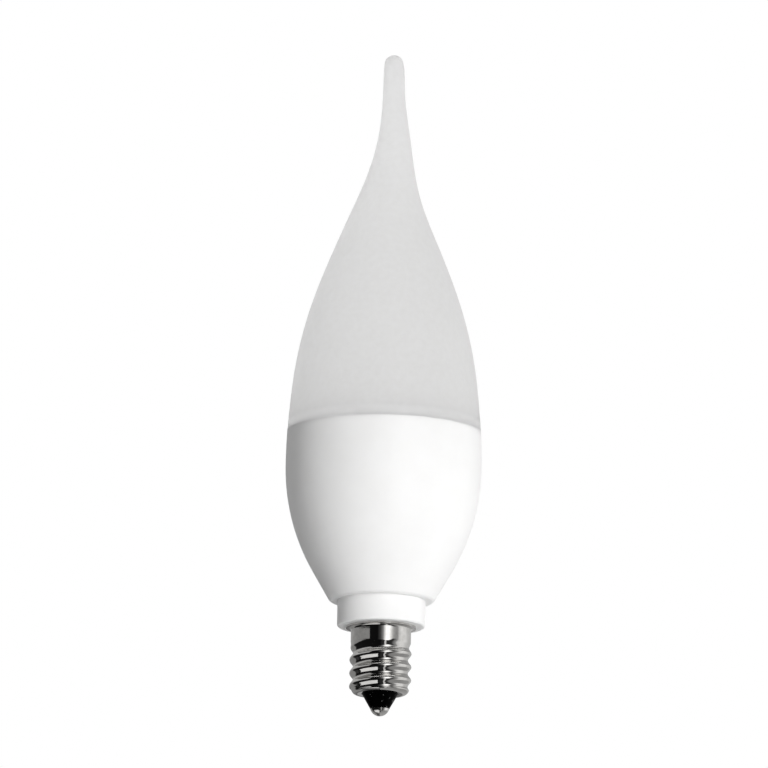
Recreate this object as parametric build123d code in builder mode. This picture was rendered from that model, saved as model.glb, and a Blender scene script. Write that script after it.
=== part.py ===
from build123d import *
import os
from math import cos, pi, radians, sin, tan

# LED candle bulb with a bent flame tip and an E12 candelabra screw base.
# Millimetres, +Z up along the bulb's axis, origin at the lowest point of the centre contact.
# The bulb is sealed and opaque, so its plastic pieces are solid: nothing inside them shows.

# Centre contact: a rivet whose domed head is the end of the base
contact_diameter = 3.6
contact_height = 1.38
rivet_diameter = 1.6
rivet_recess = 0.5

# Insulator: a black cone under the shell, held by a disc inside the shell
cone_diameter = 6.9
cone_height = 2.9
disc_thickness = 1.2

# Screw shell: thin sheet metal with an E12 knuckle thread rolled into it.
# The rounding of its lower end reaches a little past the thread's crests
shell_length = 12.8
shell_wall = 0.3
shell_end_radius = 1.4
shell_end_reach = 0.1
thread_major_diameter = 11.7
thread_minor_diameter = 10.4
thread_pitch = 2.54
thread_length = 9.47
thread_lower_end = 0.45
thread_start_angle = 53.6
thread_lower_fade_turns = 0.33
thread_upper_fade_turns = 1.0
thread_sections_per_turn = 9
flange_overhang = 1.1
flange_thickness = 0.3
flange_root_radius = 0.5

# Housing: one moulding of collar, bowl and the core that carries the shell
collar_diameter = 16.6
collar_height = 4.92
collar_edge_radius = 0.4
bowl_height = 32.4
bowl_bottom_diameter = 19.62
bowl_taper = 29.9
bowl_edge_radius = 0.9
belly_diameter = 37.0
belly_curve_radius = 39.75
seam_inset = 0.2

# Diffuser: opal flame with a thin tail that leans to +X. Heights are measured up from the seam,
# and insets are measured in from the seam's radius
seam_taper = 4.5
shoulder_inset = 1.37
shoulder_height = 12.8
waist_inset = 4.37
waist_height = 24.9
neck_diameter = 18.32
neck_height = 37.2
throat_diameter = 9.14
throat_height = 49.5
tail_diameter = 5.78
tail_height = 57.7
tip_diameter = 3.62
tip_taper = 2.5
diffuser_height = 72.8
bend_start_height = 40.0
bend_offset = 1.0
tip_offset = 0.75
diffuser_sections = 15

# Joint between diffuser and housing, and the fits
seam_rim_width = 1.8
plug_depth = 3.0
plug_clearance = 0.1
metal_clearance = 0.05

# Heights above the origin
shell_bottom = contact_height + cone_height
shell_floor = shell_bottom + shell_wall
disc_top = shell_floor + disc_thickness
shell_top = shell_bottom + shell_length
thread_bottom = shell_bottom + thread_lower_end
thread_top = thread_bottom + thread_length
bowl_bottom = shell_top + collar_height
seam = bowl_bottom + bowl_height

# Radii that several pieces share
shell_radius = (thread_major_diameter + thread_minor_diameter) / 4
bore_radius = shell_radius - shell_wall
thread_eccentricity = (thread_major_diameter - thread_minor_diameter) / 4
shell_end_centre = thread_major_diameter / 2 + shell_end_reach - shell_end_radius
core_radius = thread_minor_diameter / 2 - shell_wall - metal_clearance
rivet_top = disc_top - rivet_recess
belly_radius = belly_diameter / 2
seam_radius = belly_radius - seam_inset
plug_radius = seam_radius - seam_rim_width


def smooth_step(share):
    """A blend from 0 to 1 that is level at both ends."""
    share = min(max(share, 0.0), 1.0)
    return share * share * (3 - 2 * share)


# Centre contact
with BuildPart() as centre_contact:
    with BuildSketch(Plane.XZ):
        with BuildLine():
            dome = TangentArc((0, 0), (contact_diameter / 2, contact_height), tangent=(1, 0))
            Polyline(
                dome @ 1,
                (rivet_diameter / 2, contact_height),
                (rivet_diameter / 2, rivet_top),
                (0, rivet_top),
                (0, 0),
            )
        make_face()
    revolve(axis=Axis.Z)
centre_contact.part.label = "centre_contact"

# Insulator
with BuildPart() as insulator:
    with BuildSketch(Plane.XZ):
        with BuildLine():
            Polyline(
                (rivet_diameter / 2 + metal_clearance, contact_height),
                (contact_diameter / 2, contact_height),
                (cone_diameter / 2, shell_bottom),
                (cone_diameter / 2, shell_floor),
                (core_radius, shell_floor),
                (core_radius, disc_top),
                (rivet_diameter / 2 + metal_clearance, disc_top),
                close=True,
            )
        make_face()
    revolve(axis=Axis.Z)
    disc_lower_edge = insulator.edges().filter_by(GeomType.CIRCLE).filter_by_position(
        Axis.Z, shell_floor, shell_floor
    ).sort_by(SortBy.RADIUS)[-1]
    chamfer(disc_lower_edge, max(core_radius - shell_end_centre, 0) + metal_clearance)
insulator.part.label = "insulator"

# Screw shell: round sections that circle about the axis as they rise make the rolled thread.
# They move off the axis quickly at the lower end and come back onto it slowly at the upper end
thread_steps = round(thread_length / thread_pitch * thread_sections_per_turn)


def thread_sections(radius):
    """Round sections of the thread from its lower end to its upper end."""
    sections = []
    for step in range(thread_steps + 1):
        height = thread_length * step / thread_steps
        turns = height / thread_pitch
        turns_left = (thread_length - height) / thread_pitch
        rise = smooth_step(turns / thread_lower_fade_turns)
        fall = smooth_step(turns_left / thread_upper_fade_turns)
        offset = thread_eccentricity * rise * fall
        angle = radians(thread_start_angle) + 2 * pi * turns
        with BuildSketch(Plane.XY.offset(thread_bottom + height)) as section:
            with Locations((offset * cos(angle), offset * sin(angle))):
                Circle(radius)
        sections.append(section.sketch)
    return sections


def shell_form(radius, bottom, end_radius):
    """Solid form of one face of the shell's sheet, threaded and rounded at its lower end."""
    with BuildPart() as form:
        loft(sections=thread_sections(radius))
        with BuildSketch(Plane.XY.offset(bottom)):
            Circle(radius)
        extrude(amount=thread_bottom - bottom)
        with BuildSketch(Plane.XY.offset(thread_top)):
            Circle(radius)
        extrude(amount=shell_top - thread_top)
        with BuildSketch(Plane.XZ):
            with BuildLine():
                rounding = TangentArc(
                    (shell_end_centre, bottom),
                    (shell_end_centre + end_radius, bottom + end_radius),
                    tangent=(1, 0),
                )
                Polyline(rounding @ 1, (shell_end_centre + end_radius, bottom), rounding @ 0)
            make_face()
        revolve(axis=Axis.Z, mode=Mode.SUBTRACT)
    return form.part


with BuildPart() as screw_shell:
    add(shell_form(shell_radius, shell_bottom, shell_end_radius))
    with BuildSketch(Plane.XY.offset(shell_top)):
        Circle(shell_radius + flange_overhang)
    extrude(amount=-flange_thickness)
    flange_root = screw_shell.edges().filter_by(GeomType.CIRCLE).filter_by_position(
        Axis.Z, shell_top - flange_thickness, shell_top - flange_thickness
    ).sort_by(SortBy.RADIUS)[0]
    fillet(flange_root, flange_root_radius)
    add(shell_form(bore_radius, shell_floor, shell_end_radius - shell_wall), mode=Mode.SUBTRACT)
    with BuildSketch(Plane.XY.offset(shell_bottom)):
        Circle(cone_diameter / 2 + metal_clearance)
    extrude(amount=shell_wall, mode=Mode.SUBTRACT)
screw_shell.part.label = "screw_shell"

# Housing: the bowl is a cone that runs by tangent arcs into the belly and back in to the seam
bowl_angle = radians(bowl_taper)
corner = bowl_bottom + (belly_radius - bowl_bottom_diameter / 2) / tan(bowl_angle)
tangent_length = belly_curve_radius * tan(bowl_angle / 2)
cone_end = (belly_radius - tangent_length * sin(bowl_angle), corner - tangent_length * cos(bowl_angle))

with BuildPart() as housing:
    with BuildSketch(Plane.XZ):
        with BuildLine():
            flank = Line((bowl_bottom_diameter / 2, bowl_bottom), cone_end)
            belly = TangentArc(flank @ 1, (belly_radius, corner + tangent_length), tangent=flank % 1)
            brow = TangentArc(belly @ 1, (seam_radius, seam), tangent=belly % 1)
            Polyline(
                brow @ 1,
                (plug_radius + plug_clearance, seam),
                (plug_radius + plug_clearance, seam - plug_depth - plug_clearance),
                (0, seam - plug_depth - plug_clearance),
                (0, disc_top),
                (core_radius, disc_top),
                (core_radius, shell_top),
                (collar_diameter / 2, shell_top),
                (collar_diameter / 2, bowl_bottom),
                flank @ 0,
            )
        make_face()
    revolve(axis=Axis.Z)
    round_edges = housing.edges().filter_by(GeomType.CIRCLE)
    collar_edge = round_edges.filter_by_position(Axis.Z, shell_top, shell_top).sort_by(SortBy.RADIUS)[-1]
    bowl_edge = round_edges.filter_by_position(Axis.Z, bowl_bottom, bowl_bottom).sort_by(SortBy.RADIUS)[-1]
    fillet(collar_edge, collar_edge_radius)
    fillet(bowl_edge, bowl_edge_radius)
housing.part.label = "housing"

# Diffuser
tip_centre_height = diffuser_height - tip_diameter / 2
with BuildLine(Plane.XZ) as flame_outline:
    Spline(
        (seam_radius, 0),
        (seam_radius - shoulder_inset, shoulder_height),
        (seam_radius - waist_inset, waist_height),
        (neck_diameter / 2, neck_height),
        (throat_diameter / 2, throat_height),
        (tail_diameter / 2, tail_height),
        (tip_diameter / 2, tip_centre_height),
        tangents=((-tan(radians(seam_taper)), 1), (-tan(radians(tip_taper)), 1)),
    )
outline = flame_outline.edge()


def lean(height):
    """Sideways offset of the flame's middle at a height above the seam."""
    bend = smooth_step((height - bend_start_height) / (tail_height - bend_start_height))
    settle = smooth_step((height - tail_height) / (tip_centre_height - tail_height))
    return bend_offset * bend + (tip_offset - bend_offset) * settle


with BuildPart() as diffuser:
    for section in range(diffuser_sections):
        point = outline @ (section / (diffuser_sections - 1))
        with BuildSketch(Plane.XY.offset(seam + point.Z)):
            with Locations((lean(point.Z), 0)):
                Circle(point.X)
    loft()
    with Locations((tip_offset, 0, seam + tip_centre_height)):
        Sphere(tip_diameter / 2, arc_size1=0, align=(Align.CENTER, Align.CENTER, Align.MIN))
    with BuildSketch(Plane.XY.offset(seam)):
        Circle(plug_radius)
    extrude(amount=-plug_depth)
diffuser.part.label = "diffuser"

os.makedirs("parts", exist_ok=True)
for piece in (centre_contact, insulator, screw_shell, housing, diffuser):
    export_step(piece.part, f"parts/{piece.part.label}.step")
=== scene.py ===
import math
from typing import NamedTuple

import bpy
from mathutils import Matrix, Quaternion, Vector


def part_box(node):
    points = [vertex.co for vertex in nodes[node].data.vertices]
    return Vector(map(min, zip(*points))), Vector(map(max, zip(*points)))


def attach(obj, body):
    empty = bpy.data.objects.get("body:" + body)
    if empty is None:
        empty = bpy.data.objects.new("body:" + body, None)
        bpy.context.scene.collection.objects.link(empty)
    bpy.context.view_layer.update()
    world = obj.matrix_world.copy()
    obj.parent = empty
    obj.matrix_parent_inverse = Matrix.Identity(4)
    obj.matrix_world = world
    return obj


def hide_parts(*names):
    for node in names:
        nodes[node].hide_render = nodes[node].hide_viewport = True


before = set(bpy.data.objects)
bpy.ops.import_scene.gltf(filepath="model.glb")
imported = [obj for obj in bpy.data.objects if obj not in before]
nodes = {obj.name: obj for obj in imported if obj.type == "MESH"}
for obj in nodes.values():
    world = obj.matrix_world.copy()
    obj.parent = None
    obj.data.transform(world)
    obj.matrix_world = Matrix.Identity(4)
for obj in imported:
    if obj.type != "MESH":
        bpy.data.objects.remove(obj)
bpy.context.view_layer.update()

# LED candle bulb on white, as in a catalogue picture. Four of the CAD's nodes get procedural materials,
# and one new piece stands for the screw shell.
# Metres and degrees, except under a heading that says millimetres. Azimuths are counted to the right
# from the camera's side of the bulb, and elevations up from level.
WHITE = (1.0, 1.0, 1.0, 1.0)

# Camera: a long lens a little below the bulb, aimed near the bulb's middle
FRAME_WIDTH = 0.1450
LENS_MM = 1400.0
SENSOR_MM = 36.0
CAMERA_ELEVATION = -11.2
CAMERA_ROLL = 0.93
AIM_OFFSET = Vector((-0.00018, 0.0, 0.0002))
AIM = Vector((0.0, 0.0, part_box("diffuser")[1].z / 2.0)) + AIM_OFFSET

# Background: white to the eye, dimmer as a light on the bulb, with a floor far below
BACKGROUND_LEVEL = 1.0
AMBIENT_LEVEL = 0.16
FLOOR_HEIGHT = -0.40
FLOOR_REACH = 1.2
FLOOR_COLOUR = (0.85, 0.85, 0.85, 1.0)
FLOOR_ROUGHNESS = 0.9
FLOOR_WHITENESS = 0.85


class Lamp(NamedTuple):
    """A rectangular soft box that faces the bulb. Its level is the tone of a white surface facing it."""
    name: str
    azimuth: float
    elevation: float
    distance: float
    width: float
    height: float
    level: float


# The main light is to the right of the camera, wide ones stand behind on that side, weak ones at the left
LAMPS = (
    Lamp("key_lamp", azimuth=26, elevation=-6, distance=0.70, width=0.14, height=0.60, level=0.85),
    Lamp("side_lamp", azimuth=120, elevation=0, distance=0.60, width=0.40, height=0.80, level=0.44),
    Lamp("left_lamp", azimuth=-62, elevation=28, distance=0.60, width=0.40, height=0.60, level=0.125),
    Lamp("front_fill", azimuth=-22, elevation=0, distance=0.70, width=0.40, height=0.60, level=0.045),
    Lamp("rear_lamp", azimuth=158, elevation=5, distance=0.60, width=0.30, height=0.80, level=0.50),
)


class Screen(NamedTuple):
    """A curved screen round the screw shell, which only shiny surfaces see.
    Each knot gives an azimuth, the elevations of the screen's lower and upper edge there, and its tone."""
    name: str
    distance: float
    knots: tuple


# Screens: what the metal mirrors. A nearer screen covers those behind it
SCREEN_CENTRE = Vector((0.0, 0.0, 0.010))
SCREEN_COLUMNS = 120
SCREEN_ROWS = 8
LINE_DISTANCE = 0.36
PANEL_DISTANCE = 0.37
OUTER_PANEL_DISTANCE = 0.38
REAR_DISTANCE = 0.385
BACKDROP_DISTANCE = 0.39
SCREENS = (
    Screen("light_line", LINE_DISTANCE, (
        (18, -32, -18, 0.7), (22, -44, -18, 0.7), (26, -58, -30, 0.7), (31, -66, -46, 0.7),
        (38, -74, -58, 0.7))),
    Screen("soft_box", PANEL_DISTANCE, (
        (-12, -6, 42, 0.005), (0, -8, 42, 0.07), (9, -12, 42, 0.30), (16, -18, 44, 1.1),
        (22, -20, 44, 1.6), (31, -20, 44, 1.6), (37, -16, 42, 1.2), (44, -2, 25, 0.70),
        (50, 4, 18, 0.45), (60, 4, 18, 0.36), (66, -12, 46, 0.36))),
    Screen("right_panel", PANEL_DISTANCE, (
        (66, -42, 54, 0.32), (74, -40, 50, 0.72), (88, -36, 46, 0.94), (108, -27, 37, 0.86),
        (123, -20, 29, 0.64), (150, -10, 18, 0.54), (180, -3, 12, 0.50))),
    Screen("left_panel", PANEL_DISTANCE, (
        (-180, 3, 20, 0.45), (-100, 6, 20, 0.29), (-43, 6, 20, 0.28))),
    Screen("left_top", PANEL_DISTANCE, (
        (-180, 20, 34, 0.45), (-100, 20, 44, 0.55), (-43, 20, 48, 0.55))),
    Screen("left_edge", PANEL_DISTANCE, (
        (-180, -6, 3, 0.16), (-160, -50, 3, 0.28), (-122, -50, 6, 0.28))),
    Screen("front_table", PANEL_DISTANCE, (
        (-96, -74, -38, 0.9), (-67, -74, -45, 0.9), (-28, -74, -51, 0.9), (-6, -74, -55, 0.9))),
    Screen("right_table", PANEL_DISTANCE, (
        (66, -74, -58, 0.20), (90, -74, -54, 0.40))),
    Screen("under_table", OUTER_PANEL_DISTANCE, (
        (-180, -90, -74, 0.12), (-96, -90, -74, 0.12), (-90, -90, -74, 0.8), (-30, -90, -74, 0.8),
        (-24, -90, -74, 0.12), (40, -90, -74, 0.20), (100, -90, -74, 0.40), (180, -90, -74, 0.40))),
    Screen("rear_dark", REAR_DISTANCE, (
        (-180, -74, -30, 0.04), (-104, -74, -30, 0.04))),
    Screen("left_dark", BACKDROP_DISTANCE, (
        (-180, -75, 90, 0.15), (-122, -75, 90, 0.12), (-116, -75, 90, 0.01), (4, -75, 90, 0.005))),
    Screen("left_ceiling", OUTER_PANEL_DISTANCE, (
        (-180, 34, 90, 0.14), (-43, 48, 90, 0.12))),
    Screen("right_dark", BACKDROP_DISTANCE, (
        (4, -75, 90, 0.02), (50, -75, 90, 0.04), (62, -75, 90, 0.28), (180, -75, 90, 0.40))),
    Screen("right_ceiling", OUTER_PANEL_DISTANCE, (
        (8, 42, 90, 0.05), (66, 46, 90, 0.12))),
)

# Opal diffuser: it shows from the seam up, is painted paler in a narrow rim there to lift the shade at
# the seam, and lets more light through higher up
SEAM_CLEARANCE = 0.00002
SEAM_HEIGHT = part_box("housing")[1].z + SEAM_CLEARANCE
SEAM_FADE = 0.00001
PAINTED_LIGHT_RIM_HEIGHT = 0.0022
THINNING_HEIGHT = 0.045
LIGHT_THROUGH_PLUG = 1.0
LIGHT_THROUGH_BELLY = 0.74
LIGHT_THROUGH_TAIL = 0.79

# Noise textures: most of their values lie between these two
NOISE_LOW = 0.3
NOISE_HIGH = 0.7
UNSTRETCHED = (1.0, 1.0, 1.0)

# Places of the Mix node's sockets, whose names repeat for numbers and colours
MIX_SHARE = 0
MIX_FIRST_NUMBER = 2
MIX_SECOND_NUMBER = 3
MIX_NUMBER = 0
MIX_FIRST_COLOUR = 6
MIX_SECOND_COLOUR = 7
MIX_COLOUR = 2

# Screw shell, in millimetres: the CAD's flange and rolled thread. The plain band under the flange is a
# little wider than the CAD's, and the thread runs on down into a rounder lower end
MILLIMETRE = 0.001
SHELL_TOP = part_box("screw_shell")[1].z / MILLIMETRE
SHELL_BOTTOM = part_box("screw_shell")[0].z / MILLIMETRE
FLANGE_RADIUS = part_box("screw_shell")[1].x / MILLIMETRE
FLANGE_THICKNESS = 0.3
FLANGE_BOTTOM = SHELL_TOP - FLANGE_THICKNESS
FLANGE_ROOT_RADIUS = 0.5
BAND_RADIUS = 5.68
BAND_LENGTH = 2.88
BAND_BOTTOM = SHELL_TOP - BAND_LENGTH
BAND_WIDENING_LENGTH = 1.0
THREAD_MAJOR_DIAMETER = 11.7
THREAD_MINOR_DIAMETER = 10.4
THREAD_RADIUS = (THREAD_MAJOR_DIAMETER + THREAD_MINOR_DIAMETER) / 4.0
THREAD_ECCENTRICITY = (THREAD_MAJOR_DIAMETER - THREAD_MINOR_DIAMETER) / 4.0
THREAD_PITCH = 2.54
# The crest passes the start angle at the start height, and the thread has faded out at its top
THREAD_START_ANGLE = 53.6
THREAD_START_RISE = 0.45
THREAD_START_HEIGHT = SHELL_BOTTOM + THREAD_START_RISE
THREAD_OVERRUN = 0.2
THREAD_TOP = BAND_BOTTOM + THREAD_OVERRUN
# The lower end is a quarter round, whose centre is level with the end's top, this far from the axis
SHELL_END_CENTRE = 4.45
SHELL_END_RADIUS = 1.05
SHELL_END_RISE = 0.95
SHELL_END_TOP = SHELL_BOTTOM + SHELL_END_RISE
SHELL_END_BLEND = 0.12
BORE_CLEARANCE = 0.05
BORE_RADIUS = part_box("insulator")[1].x / MILLIMETRE + BORE_CLEARANCE
# Radius and height of the floor's corners: in to the hole, up through the sheet and out to the bore
SHELL_FLOOR = [(4.0, 4.20), (3.5, 4.25), (3.5, 4.57), (4.55, 4.57), (BORE_RADIUS, 5.0)]

# Fineness of the screw shell's mesh
SHELL_COLUMNS = 128
FLANGE_ROOT_ROWS = 6
THREAD_ROWS = 130
SHELL_END_ROWS = 30
SHARP_ANGLE = 35.0


def add_object(name, data):
    """A new object in the scene."""
    obj = bpy.data.objects.new(name, data)
    bpy.context.scene.collection.objects.link(obj)
    return obj


def studio_direction(azimuth, elevation):
    """Unit vector from the bulb towards a place in the studio."""
    across = math.radians(azimuth)
    up = math.radians(elevation)
    return Vector((math.sin(across) * math.cos(up), -math.cos(across) * math.cos(up), math.sin(up)))


def face_bulb(obj, azimuth, elevation, distance, roll=0.0):
    """Puts the camera or a lamp at its place in the studio and turns it to the bulb."""
    direction = studio_direction(azimuth, elevation)
    obj.location = AIM + direction * distance
    obj.rotation_mode = "QUATERNION"
    tilt = Quaternion((0.0, 0.0, 1.0), math.radians(roll))
    obj.rotation_quaternion = (-direction).to_track_quat("-Z", "Y") @ tilt


def make_camera():
    data = bpy.data.cameras.new("photo_camera")
    data.lens = LENS_MM
    data.sensor_width = SENSOR_MM
    camera = add_object("photo_camera", data)
    distance = FRAME_WIDTH * LENS_MM / SENSOR_MM
    face_bulb(camera, azimuth=0.0, elevation=CAMERA_ELEVATION, distance=distance, roll=CAMERA_ROLL)
    bpy.context.scene.camera = camera


def seen_rays(tree):
    """1 for rays that show the background to the eye: straight, mirrored or through glass."""
    path = tree.nodes.new("ShaderNodeLightPath")
    seen = path.outputs["Is Camera Ray"]
    for ray in ("Is Glossy Ray", "Is Transmission Ray"):
        either = tree.nodes.new("ShaderNodeMath")
        either.operation = "MAXIMUM"
        tree.links.new(seen, either.inputs[0])
        tree.links.new(path.outputs[ray], either.inputs[1])
        seen = either.outputs[0]
    return seen


def mix_shaders(tree, share, first, second):
    """A shader that runs from the first to the second as the share runs from 0 to 1."""
    mix = tree.nodes.new("ShaderNodeMixShader")
    tree.links.new(share, mix.inputs[0])
    tree.links.new(first, mix.inputs[1])
    tree.links.new(second, mix.inputs[2])
    return mix.outputs[0]


def plain_sky(tree, strength):
    """A white background of the given strength."""
    sky = tree.nodes.new("ShaderNodeBackground")
    sky.inputs["Color"].default_value = WHITE
    sky.inputs["Strength"].default_value = strength
    return sky.outputs[0]


def make_world():
    world = bpy.data.worlds.new("studio")
    world.use_nodes = True
    tree = world.node_tree
    tree.nodes.clear()
    ambient = plain_sky(tree, AMBIENT_LEVEL)
    background = plain_sky(tree, BACKGROUND_LEVEL)
    sky = mix_shaders(tree, seen_rays(tree), ambient, background)
    output = tree.nodes.new("ShaderNodeOutputWorld")
    tree.links.new(sky, output.inputs["Surface"])
    bpy.context.scene.world = world


def make_lamp(lamp):
    data = bpy.data.lights.new(lamp.name, "AREA")
    data.shape = "RECTANGLE"
    data.size = lamp.width
    data.size_y = lamp.height
    data.energy = lamp.level * math.pi ** 2 * lamp.distance ** 2
    light = add_object(lamp.name, data)
    light.visible_glossy = False
    face_bulb(light, lamp.azimuth, lamp.elevation, lamp.distance)


def white_glow(tree):
    """An emission shader that is plain white."""
    glow = tree.nodes.new("ShaderNodeEmission")
    glow.inputs["Color"].default_value = WHITE
    return glow


def screen_light():
    """A material that glows with the tone that each screen's mesh holds."""
    material = bpy.data.materials.new("screen_light")
    material.use_nodes = True
    tree = material.node_tree
    tree.nodes.clear()
    tone = tree.nodes.new("ShaderNodeAttribute")
    tone.attribute_name = "tone"
    glow = white_glow(tree)
    tree.links.new(tone.outputs["Fac"], glow.inputs["Strength"])
    output = tree.nodes.new("ShaderNodeOutputMaterial")
    tree.links.new(glow.outputs[0], output.inputs["Surface"])
    return material


def between_knots(azimuth, knots):
    """Lower edge, upper edge and tone of a screen at an azimuth, from the knots on either side."""
    for left, right in zip(knots, knots[1:]):
        if azimuth <= right[0]:
            share = (azimuth - left[0]) / (right[0] - left[0])
            return [start + (end - start) * share for start, end in zip(left[1:], right[1:])]
    return knots[-1][1:]


def make_screen(screen, material):
    points, tones, faces = [], [], []
    first = screen.knots[0][0]
    last = screen.knots[-1][0]
    for column in range(SCREEN_COLUMNS + 1):
        azimuth = first + (last - first) * column / SCREEN_COLUMNS
        low, high, tone = between_knots(azimuth, screen.knots)
        for row in range(SCREEN_ROWS + 1):
            elevation = low + (high - low) * row / SCREEN_ROWS
            points.append(SCREEN_CENTRE + studio_direction(azimuth, elevation) * screen.distance)
            tones.append(tone)
    beside = SCREEN_ROWS + 1
    for column in range(SCREEN_COLUMNS):
        for row in range(SCREEN_ROWS):
            corner = column * beside + row
            faces.append((corner, corner + beside, corner + beside + 1, corner + 1))
    mesh = bpy.data.meshes.new(screen.name)
    mesh.from_pydata(points, [], faces)
    mesh.attributes.new("tone", "FLOAT", "POINT").data.foreach_set("value", tones)
    mesh.materials.append(material)
    sheet = add_object(screen.name, mesh)
    sheet.visible_camera = False
    sheet.visible_diffuse = False
    sheet.visible_transmission = False
    sheet.visible_shadow = False


def floor_paint():
    """White that keeps a faint shadow, and is clear from below."""
    material, tree, shader = new_material("floor")
    shader.inputs["Base Color"].default_value = FLOOR_COLOUR
    shader.inputs["Roughness"].default_value = FLOOR_ROUGHNESS
    paled = tree.nodes.new("ShaderNodeMath")
    paled.operation = "MULTIPLY"
    paled.inputs[1].default_value = FLOOR_WHITENESS
    tree.links.new(seen_rays(tree), paled.inputs[0])
    from_above = mix_shaders(tree, paled.outputs[0], shader.outputs[0], white_glow(tree).outputs[0])
    side = tree.nodes.new("ShaderNodeNewGeometry")
    clear = tree.nodes.new("ShaderNodeBsdfTransparent")
    surface = mix_shaders(tree, side.outputs["Backfacing"], from_above, clear.outputs[0])
    tree.links.new(surface, tree.nodes["Material Output"].inputs["Surface"])
    return material


def make_floor():
    sides = ((-1.0, -1.0), (1.0, -1.0), (1.0, 1.0), (-1.0, 1.0))
    corners = [(x * FLOOR_REACH, y * FLOOR_REACH, FLOOR_HEIGHT) for x, y in sides]
    mesh = bpy.data.meshes.new("floor")
    mesh.from_pydata(corners, [], [(0, 1, 2, 3)])
    mesh.materials.append(floor_paint())
    floor = add_object("floor", mesh)


def make_studio():
    make_world()
    for lamp in LAMPS:
        make_lamp(lamp)
    material = screen_light()
    for screen in SCREENS:
        make_screen(screen, material)
    make_floor()


def new_material(name):
    """A material with its node tree and its main shader."""
    material = bpy.data.materials.new(name)
    material.use_nodes = True
    return material, material.node_tree, material.node_tree.nodes["Principled BSDF"]


def feed(tree, socket, value):
    """Gives a socket a fixed value or the output of another node."""
    if isinstance(value, bpy.types.NodeSocket):
        tree.links.new(value, socket)
    else:
        socket.default_value = value


def object_coordinates(tree, stretch=UNSTRETCHED):
    place = tree.nodes.new("ShaderNodeTexCoord")
    mapping = tree.nodes.new("ShaderNodeMapping")
    mapping.inputs["Scale"].default_value = stretch
    tree.links.new(place.outputs["Object"], mapping.inputs["Vector"])
    return mapping.outputs["Vector"]


def noise(tree, scale, detail=3.0, stretch=UNSTRETCHED):
    """An uneven value, with about as many patches to a metre as the scale says."""
    texture = tree.nodes.new("ShaderNodeTexNoise")
    texture.inputs["Scale"].default_value = scale
    texture.inputs["Detail"].default_value = detail
    tree.links.new(object_coordinates(tree, stretch), texture.inputs["Vector"])
    return texture.outputs["Fac"]


def spread(tree, value, low, high, from_low=NOISE_LOW, from_high=NOISE_HIGH):
    """A varying value brought to the range low to high."""
    node = tree.nodes.new("ShaderNodeMapRange")
    node.inputs["From Min"].default_value = from_low
    node.inputs["From Max"].default_value = from_high
    node.inputs["To Min"].default_value = low
    node.inputs["To Max"].default_value = high
    tree.links.new(value, node.inputs["Value"])
    return node.outputs["Result"]


def rising_value(tree, bottom, length, low=0.0, high=1.0):
    """A value that runs from low to high over a length of the bulb, upwards from a height."""
    place = tree.nodes.new("ShaderNodeSeparateXYZ")
    tree.links.new(object_coordinates(tree), place.inputs[0])
    return spread(tree, place.outputs["Z"], low, high, bottom, bottom + length)


def mix_colours(tree, share, first, second):
    """A colour that runs from the first to the second as the share runs from 0 to 1."""
    node = tree.nodes.new("ShaderNodeMix")
    node.data_type = "RGBA"
    tree.links.new(share, node.inputs[MIX_SHARE])
    feed(tree, node.inputs[MIX_FIRST_COLOUR], first)
    feed(tree, node.inputs[MIX_SECOND_COLOUR], second)
    return node.outputs[MIX_COLOUR]


def mix_numbers(tree, share, first, second):
    """A number that runs from the first to the second as the share runs from 0 to 1."""
    node = tree.nodes.new("ShaderNodeMix")
    node.data_type = "FLOAT"
    tree.links.new(share, node.inputs[MIX_SHARE])
    feed(tree, node.inputs[MIX_FIRST_NUMBER], first)
    feed(tree, node.inputs[MIX_SECOND_NUMBER], second)
    return node.outputs[MIX_NUMBER]


def mottle(tree, scale, dark, light):
    """A colour that varies a little between two."""
    return mix_colours(tree, spread(tree, noise(tree, scale), 0.0, 1.0), dark, light)


def vary_roughness(tree, shader, scale, low, high):
    tree.links.new(spread(tree, noise(tree, scale), low, high), shader.inputs["Roughness"])


def emboss(tree, shader, height, strength, depth):
    """Fine relief on a surface, from a varying height."""
    node = tree.nodes.new("ShaderNodeBump")
    node.inputs["Strength"].default_value = strength
    node.inputs["Distance"].default_value = depth
    tree.links.new(height, node.inputs["Height"])
    tree.links.new(node.outputs["Normal"], shader.inputs["Normal"])


def opal_plastic():
    """Thin opal plastic: part of the light comes back from its surface, most goes through it,
    and more of it towards the thin tail. The plug hidden below the seam lets all light through."""
    material, tree, shader = new_material("opal_plastic")
    plain = mottle(tree, scale=900.0, dark=(0.760, 0.758, 0.756, 1.0), light=(0.782, 0.782, 0.782, 1.0))
    # Painted light: a paler rim just above the seam lifts the shade that falls there
    above_painted_light_rim = rising_value(tree, SEAM_HEIGHT, PAINTED_LIGHT_RIM_HEIGHT)
    colour = mix_colours(tree, above_painted_light_rim, first=(0.97, 0.97, 0.97, 1.0), second=plain)
    tree.links.new(colour, shader.inputs["Base Color"])
    vary_roughness(tree, shader, scale=900.0, low=0.40, high=0.48)
    emboss(tree, shader, noise(tree, scale=4000.0), strength=0.15, depth=0.00005)
    through = tree.nodes.new("ShaderNodeBsdfTranslucent")
    tree.links.new(colour, through.inputs["Color"])
    above_seam = rising_value(tree, SEAM_HEIGHT, SEAM_FADE)
    thinning = rising_value(tree, SEAM_HEIGHT, THINNING_HEIGHT, LIGHT_THROUGH_BELLY, LIGHT_THROUGH_TAIL)
    share = mix_numbers(tree, above_seam, LIGHT_THROUGH_PLUG, thinning)
    surface = mix_shaders(tree, share, shader.outputs[0], through.outputs[0])
    tree.links.new(surface, tree.nodes["Material Output"].inputs["Surface"])
    return material


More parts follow.
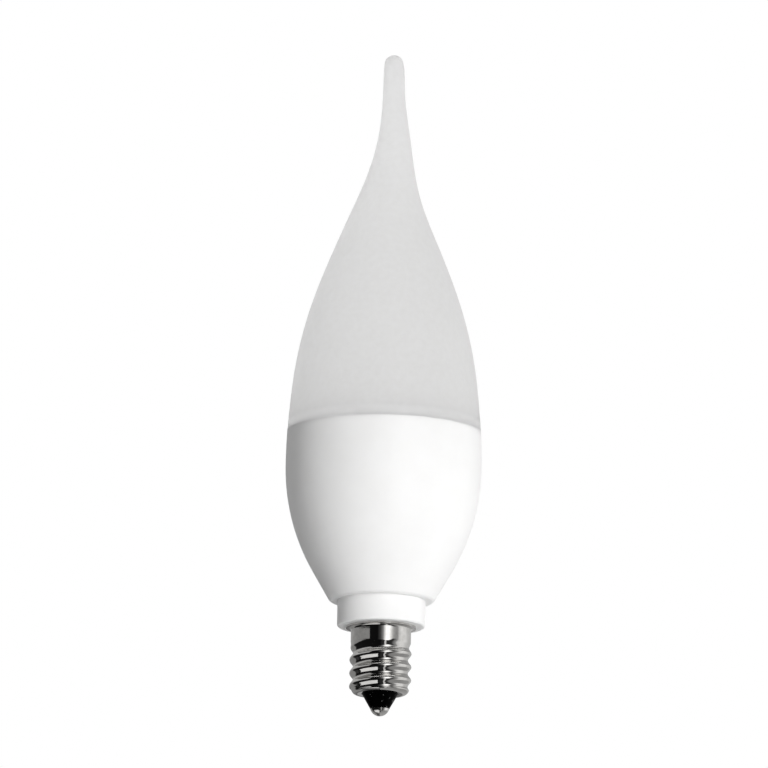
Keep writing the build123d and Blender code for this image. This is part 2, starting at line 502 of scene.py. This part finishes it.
def white_plastic():
    """Satin white moulding, which light enters a little."""
    material, tree, shader = new_material("white_plastic")
    colour = mottle(tree, scale=250.0, dark=(0.885, 0.883, 0.878, 1.0), light=(0.90, 0.90, 0.896, 1.0))
    tree.links.new(colour, shader.inputs["Base Color"])
    vary_roughness(tree, shader, scale=1200.0, low=0.38, high=0.48)
    emboss(tree, shader, noise(tree, scale=5000.0), strength=0.2, depth=0.00005)
    shader.inputs["Subsurface Weight"].default_value = 0.25
    shader.inputs["Subsurface Radius"].default_value = (1.0, 1.0, 1.0)
    shader.inputs["Subsurface Scale"].default_value = 0.002
    return material


def nickel_plate():
    """Bright plating with faint tarnish, on sheet whose grain runs round the shell."""
    material, tree, shader = new_material("nickel_plate")
    colour = mottle(tree, scale=900.0, dark=(0.62, 0.61, 0.59, 1.0), light=(0.74, 0.73, 0.71, 1.0))
    tree.links.new(colour, shader.inputs["Base Color"])
    shader.inputs["Metallic"].default_value = 1.0
    vary_roughness(tree, shader, scale=2500.0, low=0.04, high=0.08)
    rolled = noise(tree, scale=1200.0, detail=4.0, stretch=(1.0, 1.0, 6.0))
    emboss(tree, shader, rolled, strength=0.10, depth=0.00003)
    return material


def black_insulation():
    """Glossy black with a few pale specks, which are painted glints of light."""
    material, tree, shader = new_material("black_insulation")
    # Painted highlights: pale specks in the colour stand for glints on the glossy cone
    painted_glints = spread(tree, noise(tree, scale=1300.0, detail=2.0), 0.0, 1.0, from_low=0.66, from_high=0.74)
    black = (0.0006, 0.0006, 0.0006, 1.0)
    glint_grey = (0.14, 0.14, 0.14, 1.0)
    colour = mix_colours(tree, painted_glints, first=black, second=glint_grey)
    tree.links.new(colour, shader.inputs["Base Color"])
    shader.inputs["Specular IOR Level"].default_value = 0.015
    vary_roughness(tree, shader, scale=2500.0, low=0.10, high=0.22)
    emboss(tree, shader, noise(tree, scale=1800.0), strength=0.4, depth=0.00006)
    return material


def bright_metal():
    """Plated contact, worn a little rough."""
    material, tree, shader = new_material("bright_metal")
    colour = mottle(tree, scale=1500.0, dark=(0.70, 0.69, 0.67, 1.0), light=(0.82, 0.81, 0.79, 1.0))
    tree.links.new(colour, shader.inputs["Base Color"])
    shader.inputs["Metallic"].default_value = 1.0
    vary_roughness(tree, shader, scale=3000.0, low=0.12, high=0.22)
    emboss(tree, shader, noise(tree, scale=1500.0), strength=0.3, depth=0.00006)
    return material


def smooth_step(share):
    """A blend from 0 to 1 that is level at both ends."""
    share = min(max(share, 0.0), 1.0)
    return share * share * (3.0 - 2.0 * share)


def smooth_lower(first, second, blend):
    """The lower of two values, rounded over where they cross."""
    share = min(max(0.5 + 0.5 * (second - first) / blend, 0.0), 1.0)
    return second + (first - second) * share - blend * share * (1.0 - share)


def thread_radius(angle, height):
    """Radius of the rolled thread: a round section that circles about the axis as it rises.
    Towards the plain band it comes back onto the axis and widens to the band."""
    turns = (height - THREAD_START_HEIGHT) / THREAD_PITCH
    away = angle - math.radians(THREAD_START_ANGLE) - 2.0 * math.pi * turns
    offset = THREAD_ECCENTRICITY * smooth_step((THREAD_TOP - height) / THREAD_PITCH)
    widening = smooth_step(1.0 - (BAND_BOTTOM - height) / BAND_WIDENING_LENGTH)
    section_radius = THREAD_RADIUS + (BAND_RADIUS - THREAD_RADIUS) * widening
    return offset * math.cos(away) + math.sqrt(section_radius ** 2 - (offset * math.sin(away)) ** 2)


def shell_outline(angle):
    """Radius and height of the shell's points at one angle, from the flange down the outside, in under
    the floor and back to the bore."""
    outline = [(BORE_RADIUS, SHELL_TOP), (FLANGE_RADIUS, SHELL_TOP), (FLANGE_RADIUS, FLANGE_BOTTOM)]
    for row in range(FLANGE_ROOT_ROWS + 1):
        turn = math.pi / 2.0 * row / FLANGE_ROOT_ROWS
        radius = BAND_RADIUS + FLANGE_ROOT_RADIUS * (1.0 - math.sin(turn))
        height = FLANGE_BOTTOM - FLANGE_ROOT_RADIUS * (1.0 - math.cos(turn))
        outline.append((radius, height))
    for row in range(THREAD_ROWS):
        height = BAND_BOTTOM + (SHELL_END_TOP - BAND_BOTTOM) * row / THREAD_ROWS
        outline.append((thread_radius(angle, height), height))
    for row in range(SHELL_END_ROWS + 1):
        turn = math.pi / 2.0 * row / SHELL_END_ROWS
        rounding = SHELL_END_CENTRE + SHELL_END_RADIUS * math.cos(turn)
        height = SHELL_END_TOP - SHELL_END_RADIUS * math.sin(turn)
        outline.append((smooth_lower(thread_radius(angle, height), rounding, SHELL_END_BLEND), height))
    return outline + SHELL_FLOOR


def make_shell(material):
    points, faces = [], []
    for column in range(SHELL_COLUMNS):
        angle = 2.0 * math.pi * column / SHELL_COLUMNS
        outline = shell_outline(angle)
        for radius, height in outline:
            place = (radius * math.cos(angle), radius * math.sin(angle), height)
            points.append([measure * MILLIMETRE for measure in place])
    rows = len(outline)
    for column in range(SHELL_COLUMNS):
        here = column * rows
        beside = (column + 1) % SHELL_COLUMNS * rows
        for row in range(rows):
            below = (row + 1) % rows
            faces.append((here + row, here + below, beside + below, beside + row))
    mesh = bpy.data.meshes.new("rolled_shell")
    mesh.from_pydata(points, [], faces)
    mesh.shade_smooth()
    mesh.set_sharp_from_angle(angle=math.radians(SHARP_ANGLE))
    mesh.materials.append(material)
    shell = add_object("rolled_shell", mesh)
    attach(shell, "root")
    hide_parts("screw_shell")


def dress(node_name, material):
    """Gives a CAD node its material."""
    nodes[node_name].material_slots[0].material = material


make_camera()
make_studio()
dress("diffuser", opal_plastic())
dress("housing", white_plastic())
make_shell(nickel_plate())
dress("insulator", black_insulation())
dress("centre_contact", bright_metal())

bpy.context.scene.view_settings.view_transform = "Standard"
